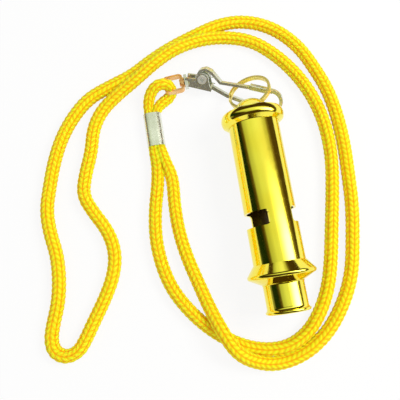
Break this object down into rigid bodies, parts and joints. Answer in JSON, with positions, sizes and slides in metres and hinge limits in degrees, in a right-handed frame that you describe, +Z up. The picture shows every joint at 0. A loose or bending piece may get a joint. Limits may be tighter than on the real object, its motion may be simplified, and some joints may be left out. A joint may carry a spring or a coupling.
{
  "type": "sports whistle on a neck cord",
  "caption": "Gold tube whistle with opposed windows, a ring in its domed cap, a swivel snap hook and a knitted yellow neck cord laid in a loop.",
  "frame": {"origin": "middle of the bottom of the box round the whistle and its split ring, on the surface they lie on", "axes": "+Y along the whistle from mouth to cap, +Z up, +X to the side on which the hook's bow lies"},
  "size_m": [0.1147, 0.1253, 0.0222],
  "materials": {
    "gold_barrel": "bright gold plate, polished",
    "gold_cap": "bright gold plate, polished",
    "gold_collar": "bright gold plate, polished",
    "ring_plate": "pale plated spring steel",
    "hook_nickel": "nickel plate, slightly dull",
    "swivel_nickel": "nickel plate, slightly dull",
    "spring_steel": "drawn spring wire",
    "crimp_nickel": "nickel plate, slightly dull",
    "yellow_cord": "knitted yellow yarn",
    "inner_block": "dark moulded plastic"
  },
  "bodies": {
    "lanyard": {"cord_neck_loop": "yellow_cord", "cord_eye_loop": "yellow_cord", "crimp_sleeve": "crimp_nickel", "swivel_eye": "swivel_nickel", "swivel_stud": "swivel_nickel", "swivel_washer": "swivel_nickel"},
    "hook": {"hook_body": "hook_nickel", "nose_sleeve": "hook_nickel", "gate_rivet": "hook_nickel", "gate_spring": "spring_steel"},
    "gate": {"gate_lever": "hook_nickel"},
    "ring": {"split_ring": "ring_plate"},
    "whistle": {"barrel": "gold_barrel", "end_cap": "gold_cap", "chamber_divider": "inner_block", "long_chamber_stop": "inner_block", "short_chamber_stop": "inner_block", "left_fipple": "inner_block", "right_fipple": "inner_block", "mouth_collar": "gold_collar", "mouthpiece": "gold_collar"}
  },
  "joints": [
    {"name": "hook_swivel", "type": "hinge", "parent": "lanyard", "child": "hook", "pos_m": [-0.01986, 0.04344, 0.00356], "axis": [-0.997, -0.0697, -0.0349], "range_deg": [0, 60]},
    {"name": "gate_hinge", "type": "hinge", "parent": "hook", "child": "gate", "pos_m": [-0.01363, 0.04319, 0.00584], "axis": [0.3423, 0.6861, -0.6419], "range_deg": [0, 5], "stiffness_Nm_per_rad": 0.05, "springref_deg": -17.19, "deforming": ["gate_spring"]},
    {"name": "ring_turn", "type": "hinge", "parent": "hook", "child": "ring", "pos_m": [0.00918, 0.03335, 0.00749], "axis": [-0.9123, 0.4062, -0.0523], "range_deg": [0, 45]},
    {"name": "whistle_swing", "type": "hinge", "parent": "ring", "child": "whistle", "pos_m": [0, 0.0289, 0.0106], "axis": [-0.9171, -0.0036, -0.3987], "range_deg": [0, 60]}
  ]
}
